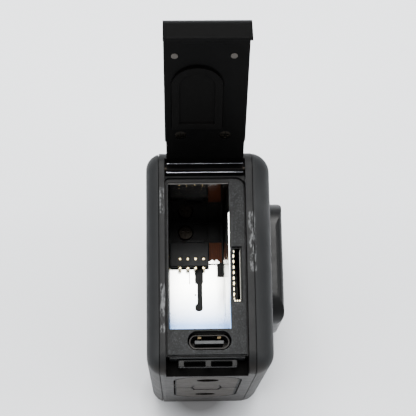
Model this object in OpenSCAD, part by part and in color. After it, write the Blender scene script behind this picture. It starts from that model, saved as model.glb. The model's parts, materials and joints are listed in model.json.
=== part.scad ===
// Action camera lying on its far end, battery door open, battery removed.
// +Z points out of the door end, +X towards the top of the camera (shutter button side),
// and the lens looks along -Y. The origin is the centre of the end face that it rests on.

/* [Body] */
// Length of the camera, from the mode button end to the door end
body_len = 71.8; // [71:0.1:73]
// Height of the camera, from its bottom face to its top face
body_h = 50.8; // [50:0.1:52]
// Depth of the camera without the lens cover
body_d = 28.2; // [28:0.1:29]
// Corner radius seen from the front
corner_r = 4.8; // [3.5:0.1:6]
// Rounding of the front edges
front_edge_r = 4.6; // [3:0.1:5]
// Rounding of the rear edges
rear_edge_r = 3.8; // [3:0.1:5]
// Depth of the front cover along the lens axis
front_shell_d = 4.1; // [3.9:0.1:4.5]
// Depth of the rear cover along the lens axis
rear_shell_d = 2.9; // [2.8:0.1:3.2]
// Gap that holds the gasket between two covers
seam = 0.15; // [0.1:0.05:0.2]

/* [Door] */
// Width of the battery door
door_w = 17.8; // [17.4:0.1:17.9]
// Thickness of the door's outer panel
door_skin = 1.0; // [0.9:0.1:1.1]
// Outer radius of the door's corner over the bottom edge
door_corner_r = 3.0; // [2:0.1:3.4]
// Depth of the lip that wraps over the bottom edge
door_lip = 7.0; // [6:0.1:7.1]
// Angle that the door is open by
door_open = 114.4; // [90:0.1:116]
// Radius of the hinge barrel
barrel_r = 1.3; // [1.2:0.05:1.3]
// Radius of the hinge pin
pin_r = 0.6; // [0.5:0.05:0.7]

/* [Battery bay] */
// Width of the bay, across the camera's depth
bay_w = 13.75; // [13.5:0.05:13.8]
// Height of the bay, along the camera's height
bay_h = 33.4; // [33:0.1:33.6]
// Depth of the bay from the inner panel's face
bay_depth = 38.0; // [36:0.5:38.5]

/* [Lens] */
// Width of the lens cover, across the camera
cover_side = 29.0; // [28:0.1:29]
// Height of the lens cover, along the camera's height
cover_tall = 31.4; // [30:0.1:31.4]
// How far the lens cover stands out of the front face
cover_h = 5.7; // [5.5:0.1:6.5]
// Radius of the cover's window
window_r = 9.5; // [9:0.1:10]

/* [Mounting fingers] */
// Width of a folding finger
finger_w = 15.0; // [14.6:0.1:15.2]
// Thickness of a folding finger
finger_t = 3.0; // [2.9:0.1:3.1]
// Distance of the thumbscrew hole from the line where the folded fingers meet
finger_hole = 15.75; // [15:0.05:16]
// Radius of the thumbscrew hole
finger_hole_r = 2.5; // [2.4:0.05:2.6]
// Clear gap between the two raised fingers
finger_gap = 3.2; // [3.1:0.1:3.4]

/* [Hidden] */
$fn = 64;
eps = 0.01;

top_x = body_h / 2;
bottom_x = -body_h / 2;
front_y = -body_d / 2;
rear_y = body_d / 2;
mid_z = body_len / 2;

// The seams between the three parts of the housing
front_seam = front_y + front_shell_d;
rear_seam = rear_y - rear_shell_d;
frame_y0 = front_seam + seam / 2;
frame_y1 = rear_seam - seam / 2;

// The door's opening in the end of the camera
open_y0 = -8.4;
open_y1 = 9.85;
open_x0 = -21.55;
open_x1 = 19.0;
panel_z = body_len - 2.0;
panel_back_z = panel_z - 2.4;
end_wall_z = panel_back_z;
// Upper corners of the opening: front one, then rear one
open_corners = [2.2, 1.0];
door_mid_y = (open_y0 + open_y1) / 2;

// Hinge of the door
hinge_x = 20.9;
hinge_z = body_len - 1.4;
door_top_z = hinge_z + barrel_r;
door_skin_z = door_top_z - door_skin;
door_plate_z = hinge_z - 0.3;
door_plate_x = hinge_x - 4.2;
lip_z = body_len - door_lip;
catch_floor_z = lip_z - 0.2;

// Latch of the door, released, and the windows in its keeper as ranges of Y
latch_travel = 0.6;
latch_arm_z = door_skin_z + 0.05;
latch_arm_t = 0.3;
latch_web_x = -22.0;
latch_finger_x = -23.1;
latch_foot_z = body_len - 2.85;
latch_tip_z = body_len - 5.6;
keeper_windows = [[1.1, 5.9], [-4.8, -0.05]];

// The battery bay
bay_x0 = -15.5;
bay_x1 = bay_x0 + bay_h;
bay_y1 = 9.1;
bay_y0 = bay_y1 - bay_w;
bay_back_z = panel_z - bay_depth;
sheet = 0.3;

// Four battery contacts, 2 mm apart, and the two tips of each
contact_y = [6.5, 4.5, 2.5, 0.5];
contact_lo = 5.15;
contact_hi = 7.55;
contact_top_z = bay_back_z + 2.8;

// The data port and the card slot
port_x = -18.1;
port_y = 0.2;
card_x0 = -9.55;
card_x1 = 2.95;
card_y0 = -7.25;
card_y1 = -5.15;

// The lens
lens_x = 7.7;
lens_z = 18.6;
cover_y1 = front_y - seam;
cover_y0 = front_y - cover_h;
// round enough for the turned cover to stay above the lower end
cover_r = 7;

// The two displays
front_win = [24, 25];
front_win_z = 50.6;
rear_win = [39, 60];

// The folding fingers
fingers_z = 40.2;
fingers_y = 0.4;
finger_r = finger_w / 2;
finger_pin_r = 0.6;
finger_pivot_x = bottom_x + 1.0;
finger_pivot = finger_gap / 2 + 1.0;
finger_root_r = finger_pivot - 0.1;
cradle_floor_x = bottom_x + finger_t + 0.6;
cradle_back_x = cradle_floor_x + 0.7;

// Buttons and speaker
shutter_z = 50;
mode_x = 9.5;
speaker_y = front_y + 2.4;

// ---------- shared shapes ----------

// Rectangle with true round corners, centred on the origin
module round_rect(w, h, r) {
    square([w - 2 * r, h], center = true);
    square([w, h - 2 * r], center = true);
    for (sx = [-1, 1], sy = [-1, 1])
        translate([sx * (w / 2 - r), sy * (h / 2 - r)])
            circle(r);
}

// Slot with round ends, centred on the origin, long side along its first axis
module slot_shape(len, w) {
    square([len - w, w], center = true);
    for (s = [-1, 1])
        translate([s * (len - w) / 2, 0])
            circle(w / 2);
}

// Box from one corner to the opposite one
module block(a, b) {
    translate(a)
        cube(b - a);
}

// Lays a shape drawn as (X, Z) flat against the camera's front, from y0 to y1
module along_y(y0, y1) {
    translate([0, y1, 0])
        rotate([90, 0, 0])
            linear_extrude(y1 - y0)
                children();
}

// Stands a shape drawn as (Y, Z) on the camera's side, from x0 to x1
module along_x(x0, x1) {
    translate([x0, 0, 0])
        rotate([90, 0, 90])
            linear_extrude(x1 - x0)
                children();
}

// Extrudes a shape drawn as (X, Y) from z0 to z1
module along_z(z0, z1) {
    translate([0, 0, z0])
        linear_extrude(z1 - z0)
            children();
}

// Round rod along Y
module rod_y(x, z, r, y0, y1) {
    along_y(y0, y1)
        translate([x, z])
            circle(r);
}

// Side view of the housing as (Y, other axis), with its own radius at the front and at the rear
module edge_outline(h, inset) {
    reach = 20;
    w = body_d + reach - 2 * inset;
    intersection() {
        translate([reach / 2, 0])
            round_rect(w, h - 2 * inset, front_edge_r - inset);
        translate([-reach / 2, 0])
            round_rect(w, h - 2 * inset, rear_edge_r - inset);
    }
}

// Outer form of the housing, with its surface moved in by inset
module housing_form(inset = 0) {
    intersection() {
        along_y(front_y + inset, rear_y - inset)
            translate([0, mid_z])
                round_rect(body_h - 2 * inset, body_len - 2 * inset, corner_r - inset);
        along_x(bottom_x - 1, top_x + 1)
            translate([0, mid_z])
                edge_outline(body_len, inset);
        along_z(-1, body_len + 1)
            rotate(90)
                mirror([0, 1, 0])
                    edge_outline(body_h, inset);
    }
}

// The part of the housing form between two planes across the lens axis
module housing_slice(y0, y1, inset = 0) {
    intersection() {
        housing_form(inset);
        block([bottom_x - 1, y0, -1], [top_x + 1, y1, body_len + 1]);
    }
}

// Turns the closed door's parts to the open position that is stored
module opened() {
    translate([hinge_x, 0, hinge_z])
        rotate([0, door_open, 0])
            translate([-hinge_x, 0, -hinge_z])
                children();
}

// ---------- housing ----------

module mid_frame() {
    color("#2b2c2e")
    difference() {
        housing_slice(frame_y0, frame_y1);
        // hollow inside
        block([-20.6, frame_y0 - 1, 2.4], [23.0, frame_y1 + 1, end_wall_z]);
        // door opening in the end wall
        door_opening();
        // room for the hinge barrel and for the door's swing
        rod_y(hinge_x, hinge_z, barrel_r + 0.3, open_y0, open_y1);
        along_y(open_y0, open_y1)
            polygon([[18.0, hinge_z], [22.4, hinge_z - 0.9], [26.6, hinge_z + 5.6], [18.0, hinge_z + 5.6]]);
        rod_y(hinge_x, hinge_z, pin_r + 0.05, frame_y0 - 1, frame_y1 + 1);
        // pocket for the door's lip
        block([bottom_x - 1, open_y0, catch_floor_z], [open_x0 + eps, open_y1, body_len + 1]);
        // folding finger cradle and the ends of its hinge pins
        cradle_form(0);
        for (s = [-1, 1])
            rod_y(finger_pivot_x, fingers_z + s * finger_pivot, finger_pin_r, -9.2, 10.2);
        // shutter button
        along_x(top_x - 4, top_x + 1)
            translate([0, shutter_z])
                rotate(90)
                    slot_shape(12.6, 7.0);
        // mode button
        along_z(-1, 4)
            translate([mode_x, 0])
                slot_shape(12.6, 5.6);
        // microphone and speaker holes in the top and the end
        for (i = [-1, 0, 1])
            translate([top_x - 4, 4 * i, 22])
                rotate([0, 90, 0])
                    cylinder(h = 6, r = 0.5);
        translate([top_x - 4, 0, 66])
            rotate([0, 90, 0])
                cylinder(h = 6, r = 0.8);
    }
}

// Opening in the end wall
module door_opening() {
    along_z(end_wall_z - 1, body_len + 1)
        opening_outline(0);
}

module front_shell() {
    color("#303134")
    difference() {
        housing_slice(front_y - 1, front_seam - seam / 2);
        along_y(front_y + 2.2, front_y + front_shell_d + 1)
            translate([0, mid_z])
                round_rect(body_h - 4.4, body_len - 4.4, 2.4);
        // lens
        rod_y(lens_x, lens_z, 12.4, front_y - 1, front_y + 5);
        // front display window
        along_y(front_y - 1, front_y + 5)
            translate([lens_x, front_win_z])
                round_rect(front_win[0], front_win[1], 2);
        // speaker holes
        for (i = [0:3], j = [0:1])
            rod_y(-19 + 1.7 * j, 8 + 1.8 * i, 0.45, front_y - 1, front_y + 5);
        // grip grooves under the display
        for (i = [0:3])
            block([-19.5 + 2.6 * i, front_y - 1, 24], [-18.3 + 2.6 * i, front_y + 0.45, 64]);
        // status light
        rod_y(21.6, 66, 0.8, front_y - 1, front_y + 5);
    }
}

module rear_shell() {
    color("#303134")
    difference() {
        housing_slice(rear_seam + seam / 2, rear_y + 1);
        along_y(rear_y - rear_shell_d - 1, rear_y - 2.0)
            translate([0, mid_z])
                round_rect(body_h - 4.4, body_len - 4.4, 2.4);
        along_y(rear_y - 4, rear_y + 1)
            translate([0, mid_z])
                round_rect(rear_win[0], rear_win[1], 2);
        rod_y(21.8, 66.5, 0.8, rear_y - 4, rear_y + 1);
    }
}

// Two thin loops that seal the covers to the frame
module frame_gaskets() {
    color("#17181a")
    for (y = [front_seam, rear_seam])
        difference() {
            housing_slice(y - seam / 2, y + seam / 2, 0.5);
            block([-20.6, y - 1, 2.4], [23.0, y + 1, end_wall_z]);
            cradle_form(0);
            // gap at the pocket for the door's lip
            block([bottom_x - 1, open_y0 - 0.1, catch_floor_z], [open_x0, open_y1, body_len + 1]);
        }
}

// ---------- inside the door opening ----------

// Outline of the opening as (X, Y), with its edge moved in by inset
module opening_outline(inset) {
    x0 = open_x0 + inset;
    x1 = open_x1 - inset;
    y0 = open_y0 + inset;
    y1 = open_y1 - inset;
    r = open_corners[0];
    q = open_corners[1];
    translate([x0, y0])
        square([x1 - x0 - r, y1 - y0]);
    translate([x1 - r - eps, y0 + r])
        square([r - q + eps, y1 - y0 - r]);
    translate([x1 - q - eps, y0 + r])
        square([q + eps, y1 - y0 - r - q]);
    translate([x1 - r, y0 + r])
        circle(r);
    translate([x1 - q, y1 - q])
        circle(q);
}

module side_panel() {
    color("#3d3e41")
    difference() {
        along_z(panel_back_z, panel_z)
            opening_outline(0.35);
        // mouth of the bay
        block([bay_x0, bay_y0, panel_back_z - 1], [bay_x1, bay_y1, panel_z + 1]);
        // card slot
        block([card_x0 - 0.05, card_y0 - 0.05, panel_back_z - 1],
              [card_x1 + 0.05, card_y1 + 0.05, panel_z + 1]);
        // well of the data port
        along_z(panel_back_z - 1, panel_z + 1)
            translate([port_x, port_y])
                rotate(90)
                    slot_shape(9.7, 4.2);
    }
}

module door_seal() {
    color("#101112")
    along_z(panel_back_z, panel_z - 0.5)
        difference() {
            opening_outline(0.05);
            opening_outline(0.35);
        }
}

// Moulded pocket of the battery, open towards the door
module bay_walls() {
    wall = 0.8;
    color("#3a3a3c")
    difference() {
        block([bay_x0 - wall, bay_y0 - 0.45, bay_back_z - wall], [bay_x1 + wall, bay_y1 + 0.7, panel_back_z]);
        block([bay_x0, bay_y0, bay_back_z], [bay_x1, bay_y1, panel_z]);
        // recess and slot in the back wall
        block([12.4, -0.8, bay_back_z - 0.5], [bay_x1 - 0.5, 3.0, bay_back_z + 1]);
        block([12.4, -4.4, bay_back_z - 0.5], [bay_x1 - 0.5, -3.6, bay_back_z + 1]);
    }
}

// Polished steel sheet on the bay's upper wall
module bay_ceiling_sheet() {
    color("#c8cacd")
    block([bay_x1 - sheet, bay_y0 + 0.05, bay_back_z + 0.05], [bay_x1, bay_y1 - 0.05, panel_z - 0.3]);
}

// Stamped steel liner, bent to cover the lower back wall and the side wall next to it
module bay_liner() {
    top = 5.3;
    high_top = 6.5;
    flange_top = 11.0;
    flange_z = panel_z - 0.4;
    color("#d8dadd")
    union() {
        difference() {
            block([bay_x0, bay_y0, bay_back_z], [top, bay_y1 - 0.05, bay_back_z + sheet]);
            // key shaped slot
            block([-4.9, 1.0, bay_back_z - 1], [4.0, 2.3, bay_back_z + 1]);
            block([2.9, 0.9, bay_back_z - 1], [top + 1, 2.8, bay_back_z + 1]);
            rod_z(-4.9, 1.65, 0.65);
            // hairline slit
            block([2.4, 4.9, bay_back_z - 1], [top + 1, 5.05, bay_back_z + 1]);
            // notches at the lower corners
            block([bay_x0 - 1, bay_y1 - 0.8, bay_back_z - 1], [bay_x0 + 2.2, bay_y1 + 1, bay_back_z + 1]);
        }
        difference() {
            block([top - eps, bay_y0, bay_back_z], [high_top, -0.9, bay_back_z + sheet]);
            block([top - 1, -4.35, bay_back_z - 1], [high_top + 1, -3.4, bay_back_z + 1]);
        }
        // flange along the side wall, cut on a slant towards the mouth
        along_y(bay_y0, bay_y0 + sheet)
            polygon([
                [bay_x0, bay_back_z], [high_top, bay_back_z], [flange_top, flange_z - 8],
                [flange_top, flange_z], [bay_x0, flange_z]
            ]);
    }
}

// Round cutter along Z at the bay's back wall
module rod_z(x, y, r) {
    translate([x, y, bay_back_z - 1])
        cylinder(h = 2, r = r);
}

// Carries the four contacts
module contact_block() {
    low_x = 5.6;
    step_x = 11.8;
    slot = 0.5;
    color("#55575a")
    difference() {
        union() {
            block([low_x, -0.85, bay_back_z + sheet], [step_x, 9.0, contact_top_z]);
            block([step_x, 0.4, bay_back_z], [step_x + 0.6, 4.9, contact_top_z]);
        }
        for (y = contact_y)
            block([low_x - 1, y - slot, contact_top_z - 1.6],
                  [contact_hi + slot, y + slot, contact_top_z + 1]);
    }
}

// Springs with a round tip at each end, which touch the battery's pads
module battery_contacts() {
    tip_r = 0.42;
    strip_z = contact_top_z - 1.2;
    tip_z = contact_top_z - 0.4;
    color("#d9b457")
    for (y = contact_y) {
        block([contact_lo, y - 0.25, strip_z], [contact_hi, y + 0.25, strip_z + 0.2]);
        for (x = [contact_lo, contact_hi])
            translate([x, y, 0]) {
                along_z(strip_z, tip_z)
                    circle(tip_r);
                translate([0, 0, tip_z])
                    sphere(tip_r);
            }
    }
}

module flex_strip() {
    color("#7a3c16")
    block([7.0, bay_y0 + 0.4, bay_back_z], [12.2, -1.0, bay_back_z + 0.15]);
}

// Round head of the screw that holds the contact block's bracket
module bay_boss() {
    color("#4a4743")
    translate([14.8, 4.95, bay_back_z])
        difference() {
            cylinder(h = 0.9, r = 1.95);
            translate([0, 0, 0.5])
                cylinder(h = 1, r = 0.7);
        }
}

module port_housing() {
    color("#6d6f72")
    along_z(panel_back_z - 6.5, panel_back_z)
        translate([port_x, port_y])
            rotate(90)
                difference() {
                    slot_shape(9.0, 3.2);
                    slot_shape(8.4, 2.6);
                }
    color("#6d6f72")
    along_z(panel_back_z - 7.0, panel_back_z - 6.5)
        translate([port_x, port_y])
            rotate(90)
                slot_shape(9.0, 3.2);
}

module port_tongue() {
    color("#9a9c9f")
    block([port_x - 0.35, port_y - 3.2, panel_back_z - 6.5],
          [port_x + 0.35, port_y + 3.2, panel_back_z - 0.4]);
}

// Spring contacts above and below the tongue
module port_contacts() {
    color("#d9b457")
    for (y = [-2.2, 2.2])
        block(
            [port_x + 0.75, port_y + y - 0.4, panel_back_z - 2.6],
            [port_x + 1.3, port_y + y + 0.4, panel_back_z - 0.4]
        );
}

module card_reader() {
    z1 = panel_z - 0.9;
    wall = 0.2;
    color("#b9bbbe")
    difference() {
        block([card_x0, card_y0, panel_z - 16.5], [card_x1, card_y1, z1]);
        block([card_x0 + wall, card_y0 + wall, panel_z - 16.1], [card_x1 - wall, card_y1 - wall, z1 + 1]);
    }
}

module card_contacts() {
    color("#d9b457")
    for (i = [0:7])
        translate([-8.1 + 1.25 * i, card_y1 - 0.42, panel_z - 3.2])
            block([0, 0, -9], [0.6, 0.22, 2.4]);
}

// Ledge with two windows that the latch's fingers enter, to hook under it
module latch_keeper() {
    outer_x = bottom_x + 0.9;
    inner_x = -22.15;
    keeper_z = body_len - 3;
    ledge_t = 1.8;
    color("#6a6c6f")
    difference() {
        block([outer_x, -5.85, catch_floor_z], [inner_x, 7.1, keeper_z]);
        block([outer_x - 1, -6, catch_floor_z - 1], [inner_x - 0.35, 8, keeper_z - ledge_t]);
        for (w = keeper_windows)
            block([-24.0, w[0], catch_floor_z], [inner_x - 0.35, w[1], keeper_z + 1]);
    }
}

module hinge_pin() {
    color("#d0d2d4")
    rod_y(hinge_x, hinge_z, pin_r, frame_y0 + 0.1, frame_y1 - 0.1);
}

// ---------- displays ----------

module front_glass() {
    color([0.05, 0.05, 0.06, 0.9])
    along_y(front_y + 0.25, front_y + 2.2)
        translate([lens_x, front_win_z])
            round_rect(front_win[0] - 0.2, front_win[1] - 0.2, 1.9);
}

module front_display() {
    color("#202225")
    along_y(front_y + 2.2, front_y + 4.0)
        translate([lens_x, front_win_z])
            square([front_win[0] + 2, front_win[1] + 2], center = true);
}

module rear_glass() {
    color([0.05, 0.05, 0.06, 0.9])
    along_y(rear_y - 2.0, rear_y - 0.2)
        translate([0, mid_z])
            round_rect(rear_win[0] - 0.2, rear_win[1] - 0.2, 1.9);
}

module rear_display() {
    color("#202225")
    along_y(rear_y - 3.4, rear_y - 2.0)
        translate([0, mid_z])
            square([rear_win[0] + 2, rear_win[1] + 2], center = true);
}

// ---------- lens ----------

module lens_barrel() {
    color("#1c1d1f")
    difference() {
        union() {
            rod_y(lens_x, lens_z, 10.6, front_y - 2.8, front_y + 2);
            rod_y(lens_x, lens_z, 9.0, front_y + 2, -6);
            rod_y(lens_x, lens_z, 7.2, -6, 1.0);
        }
        rod_y(lens_x, lens_z, 8.6, front_y - 3, front_y + 0.3);
        rod_y(lens_x, lens_z, 5.0, front_y - 3, 2);
    }
}

// Domed outer glass of the lens
module front_element() {
    dome_r = 13;
    color([0.10, 0.12, 0.16, 0.9])
    intersection() {
        rod_y(lens_x, lens_z, 8.5, front_y - 4.2, front_y + 0.25);
        translate([lens_x, front_y - 3.9 + dome_r, lens_z])
            sphere(dome_r);
    }
}

module inner_elements() {
    color([0.35, 0.45, 0.5, 0.8])
    for (y = [-12.0, -7.6, -3.2])
        rod_y(lens_x, lens_z, 4.9, y, y + 2.0);
}

// Ring on the housing with four lugs that the lens cover locks over
module lens_mount() {
    color("#26272a")
    difference() {
        union() {
            rod_y(lens_x, lens_z, 12.3, front_y, front_y + 3.6);
            rod_y(lens_x, lens_z, 11.5, front_y - 2.6, front_y);
            intersection() {
                rod_y(lens_x, lens_z, 12.1, front_y - 2.4, front_y - 1.4);
                for (a = [45, 135])
                    translate([lens_x, front_y, lens_z])
                        rotate([0, a, 0])
                            cube([30, 10, 6.4], center = true);
            }
        }
        rod_y(lens_x, lens_z, 10.7, front_y - 5, front_y + 5);
    }
}

module sensor_board() {
    color("#1d5a3a")
    block([lens_x - 10, 2.2, lens_z - 10], [lens_x + 10, 3.2, lens_z + 10]);
    color("#1d5a3a")
    block([lens_x - 5, 1.05, lens_z - 5], [lens_x + 5, 2.2, lens_z + 5]);
}

module main_board() {
    y0 = -8.3;
    y1 = -7.3;
    color("#1f6b45")
    difference() {
        block([-19.5, y0, 4.0], [22.0, y1, 66.5]);
        rod_y(lens_x, lens_z, 9.4, y0 - 1, y1 + 1);
        // clear of the data port
        block([-20, y0 - 1, 58], [-14, y1 + 1, 67]);
    }
}

module processor_shield() {
    color("#b9bbbe")
    block([-18, -7.3, 8], [-5, -5.6, 26]);
}

module heat_spreader() {
    color("#c4c6c8")
    difference() {
        block([-19.5, 8.4, 5], [21, 9.4, 29.5]);
        for (x = [-16, 18])
            rod_y(x, 8, 1.3, 7, 11);
    }
}

// ---------- buttons, sound and lights ----------

// Stadium boot that seals the shutter button's well
module shutter_seal() {
    color("#1a1b1d")
    along_x(top_x - 2.4, top_x - 1.9)
        translate([0, shutter_z])
            rotate(90)
                slot_shape(12.5, 6.9);
}

module shutter_switch() {
    color("#8f9194")
    block([top_x - 4.4, -2.2, shutter_z - 2.6], [top_x - 2.4, 2.2, shutter_z + 2.6]);
}

module mode_seal() {
    color("#1a1b1d")
    along_z(1.9, 2.4)
        translate([mode_x, 0])
            slot_shape(12.5, 5.5);
}

module mode_switch() {
    color("#8f9194")
    block([mode_x - 2.6, -2.2, 2.4], [mode_x + 2.6, 2.2, 3.6]);
}

module speaker() {
    color("#3a3b3e")
    block([-20.2, speaker_y, 6.5], [-15.2, speaker_y + 2.5, 16.0]);
}

module speaker_mesh() {
    color("#7c7e81")
    block([-20.2, speaker_y - 0.1, 6.5], [-15.8, speaker_y, 15.0]);
}

module microphones() {
    color("#a7a9ac")
    for (y = [-4, 0, 4])
        block([21.2, y - 1.1, 20.6], [22.9, y + 1.1, 23.4]);
    color("#a7a9ac")
    block([21.2, -1.1, 64.4], [22.9, 1.1, 67.3]);
}

module status_lights() {
    color("#d8d2c4")
    rod_y(21.6, 66, 0.75, front_y + 0.15, front_y + 2.2);
    color("#d8d2c4")
    rod_y(21.8, 66.5, 0.75, rear_y - 2.0, rear_y - 0.15);
}

// ---------- folding fingers ----------

// Recess for the fingers, with its walls moved in by inset
module cradle_form(inset) {
    len = 2 * (finger_hole + finger_r) + 0.7 - 2 * inset;
    w = finger_w + 0.7 - 2 * inset;
    along_x(bottom_x - 1, cradle_back_x - inset)
        translate([fingers_y, fingers_z])
            rotate(90)
                slot_shape(len, w);
}

// Six-sided block between the fingers' roots, which carries both hinge pins
module bearing_outline(grow) {
    waist = 3.4 + grow;
    end = 2.8 + grow;
    half = 4.6 + grow;
    translate([fingers_y, fingers_z])
        polygon([[-waist, 0], [-end, -half], [end, -half], [waist, 0], [end, half], [-end, half]]);
}

module accessory_cradle() {
    color("#2f3033")
    difference() {
        union() {
            intersection() {
                cradle_form(0.05);
                block([cradle_floor_x, -20, 0], [0, 20, body_len]);
            }
            along_x(bottom_x + 0.1, cradle_floor_x + 0.1)
                bearing_outline(0);
        }
        for (s = [-1, 1])
            rod_y(finger_pivot_x, fingers_z + s * finger_pivot, finger_pin_r, -20, 20);
    }
}

module finger_pins() {
    color("#d0d2d4")
    for (s = [-1, 1])
        rod_y(finger_pivot_x, fingers_z + s * finger_pivot, finger_pin_r, -9.2, 10.2);
}

module housing_screws() {
    color("#9c9ea1")
    for (p = [[-17.5, 4.5], [20.5, 4.5], [-17.6, 57.5], [20.5, 60]])
        rod_y(p[0], p[1], 0.9, 1, 8);
}

// ---------- battery door, drawn closed and then opened ----------

module door_panel() {
    y0 = door_mid_y - door_w / 2;
    y1 = door_mid_y + door_w / 2;
    color("#2c2d2f")
    opened()
    difference() {
        union() {
            // flat skin, with the corner over the bottom edge
            along_y(y0, y1)
                door_profile();
            rod_y(hinge_x, hinge_z, barrel_r, y0 + 0.15, y1 - 0.15);
        }
        rod_y(hinge_x, hinge_z, pin_r + 0.05, y0 - 1, y1 + 1);
        // the leaf next to the barrel is a little narrower and thinner than the door
        for (s = [-1, 1])
            block_mid([16.2, door_mid_y + s * door_w / 2, hinge_z + 0.2], [9, 0.6, 8]);
        block([door_plate_x, y0 - 1, door_skin_z - 1], [hinge_x - 0.95, y1 + 1, door_skin_z + 0.6]);
        // track of the latch and the window of its thumb piece
        block([latch_web_x - latch_travel - 0.15, -5.1, door_skin_z - 1],
              [-11.4, 6.2, latch_arm_z + latch_arm_t + 0.1]);
        block([-19.0, -3.9, door_skin_z - 1], [-11.4, 4.9, door_top_z + 1]);
    }
}

// Box given by its centre and size
module block_mid(centre, size) {
    translate(centre)
        cube(size, center = true);
}

// Section of the door's skin as (X, Z)
module door_profile() {
    lip_t = 0.75;
    centre = [bottom_x + door_corner_r, door_top_z - door_corner_r];
    translate([centre[0], door_skin_z])
        square([hinge_x - centre[0], door_skin]);
    translate([bottom_x, lip_z])
        square([lip_t, centre[1] - lip_z]);
    intersection() {
        difference() {
            translate(centre)
                circle(door_corner_r);
            translate(centre)
                circle(door_corner_r - lip_t);
        }
        translate(centre - [door_corner_r, 0])
            square(door_corner_r);
    }
}

module door_plate() {
    y0 = door_mid_y - door_w / 2 + 0.25;
    y1 = door_mid_y + door_w / 2 - 0.25;
    color("#38393b")
    opened()
    difference() {
        block([latch_web_x + 0.8, y0, door_plate_z], [door_plate_x, y1, door_skin_z]);
        for (s = [-1, 1])
            translate([9.1, 1.25 + 4.85 * s, door_plate_z - 1])
                cylinder(h = 3, r = 1.3);
        for (s = [-1, 1])
            translate([-15.3, 1.2 + 6.13 * s, door_plate_z - 1])
                cylinder(h = 3, r = 0.75);
        // seat of the pad
        along_z(door_plate_z - 1, door_plate_z + 0.25)
            pad_outline(0);
    }
}

// Arched outline of the battery pad as (X, Y), with its edge moved in by inset
module pad_outline(inset) {
    x0 = -12.4;
    x1 = 6.4;
    mid = 2.6;
    r = 5.5;
    translate([x0 + r, mid])
        circle(r - inset);
    translate([x0 + r, mid - r + inset])
        square([x1 - x0 - r - inset, 2 * (r - inset)]);
}

module door_pad() {
    color("#3a3b3c")
    opened()
    difference() {
        along_z(door_plate_z - 0.6, door_plate_z + 0.25)
            pad_outline(0.1);
        along_z(door_plate_z - 1, door_plate_z - 0.25)
            pad_outline(1.6);
    }
}

module door_screws() {
    color("#4a4a4a")
    opened()
    for (s = [-1, 1])
        difference() {
            translate([9.1, 1.25 + 4.85 * s, door_plate_z + 0.12])
                cylinder(h = door_skin_z - door_plate_z - 0.12, r = 1.2);
            translate([9.1, 1.25 + 4.85 * s, door_plate_z])
                cylinder(h = 0.35, r = 0.5);
        }
}

module door_magnets() {
    color("#b8b4aa")
    opened()
    for (s = [-1, 1])
        translate([-15.3, 1.2 + 6.13 * s, door_plate_z - 0.1])
            cylinder(h = door_skin_z - door_plate_z + 0.1, r = 0.7);
}

// Sliding latch with a thumb piece outside and two hooked fingers inside
module door_latch() {
    thumb_x = -18.1;
    thumb_end_x = -12.2;
    nose = 0.45;
    color("#252628")
    opened() {
        block([latch_web_x, -4.7, latch_arm_z], [thumb_end_x, 5.8, latch_arm_z + latch_arm_t]);
        block([thumb_x, -3.5, latch_arm_z + latch_arm_t - eps], [thumb_end_x, 4.5, door_top_z + 0.05]);
        for (i = [0:2])
            block([thumb_x + 0.7 + 1.9 * i, -3.0, door_top_z],
                  [thumb_x + 1.5 + 1.9 * i, 4.0, door_top_z + 0.35]);
        // cranked end, which goes down beside the inner plate and out to the fingers
        block([latch_web_x, -4.7, latch_foot_z], [latch_web_x + 0.4, 5.8, latch_arm_z + latch_arm_t]);
        block([latch_finger_x, -4.7, latch_foot_z], [latch_web_x + 0.4, 5.8, latch_foot_z + 0.4]);
        for (w = keeper_windows) {
            block([latch_finger_x, w[0] + 0.25, latch_tip_z],
                  [latch_finger_x + 0.5, w[1] - 0.25, latch_foot_z + 0.1]);
            block([latch_finger_x - nose, w[0] + 0.25, latch_tip_z],
                  [latch_finger_x + eps, w[1] - 0.25, latch_tip_z + 0.5]);
        }
    }
}

// ---------- moving parts on the housing ----------

module shutter_button() {
    color("#2a2b2d")
    along_x(top_x - 0.9, top_x + 0.4)
        translate([0, shutter_z])
            rotate(90)
                slot_shape(12.0, 6.4);
    color("#2a2b2d")
    along_x(top_x - 1.35, top_x - 0.9 + eps)
        translate([0, shutter_z])
            rotate(90)
                slot_shape(6.0, 3.0);
}

module mode_button() {
    color("#2a2b2d")
    along_z(0.2, 1.0)
        translate([mode_x, 0])
            slot_shape(12.0, 5.0);
    color("#2a2b2d")
    along_z(1.0 - eps, 1.4)
        translate([mode_x, 0])
            slot_shape(6.0, 2.6);
}

// One folding finger, drawn as if it folds towards the door
module finger_form() {
    pivot_z = fingers_z + finger_pivot;
    hole_z = fingers_z + finger_hole;
    difference() {
        intersection() {
            // side view: a straight arm with a root that is round about the pivot
            along_y(fingers_y - finger_r, fingers_y + finger_r)
                finger_side_view(pivot_z);
            // front view: a round tip
            along_x(bottom_x, bottom_x + finger_t)
                translate([fingers_y, 0]) {
                    translate([-finger_r, fingers_z])
                        square([finger_w, finger_hole]);
                    translate([0, hole_z])
                        circle(finger_r);
                }
        }
        translate([bottom_x - 1, fingers_y, hole_z])
            rotate([0, 90, 0])
                cylinder(h = finger_t + 2, r = finger_hole_r);
        // fork around the bearing block
        along_x(bottom_x - 1, bottom_x + finger_t + 1)
            bearing_outline(0.3);
        rod_y(finger_pivot_x, pivot_z, finger_pin_r + 0.05, -20, 20);
    }
}

// Section of a finger as (X, Z)
module finger_side_view(pivot_z) {
    translate([bottom_x, pivot_z])
        square([finger_t, finger_hole + finger_r]);
    intersection() {
        translate([bottom_x, pivot_z - 5])
            square([finger_t, 5 + eps]);
        translate([finger_pivot_x, pivot_z])
            circle(finger_root_r);
    }
}

module door_side_finger() {
    color("#4c4b4a")
    finger_form();
}

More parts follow.
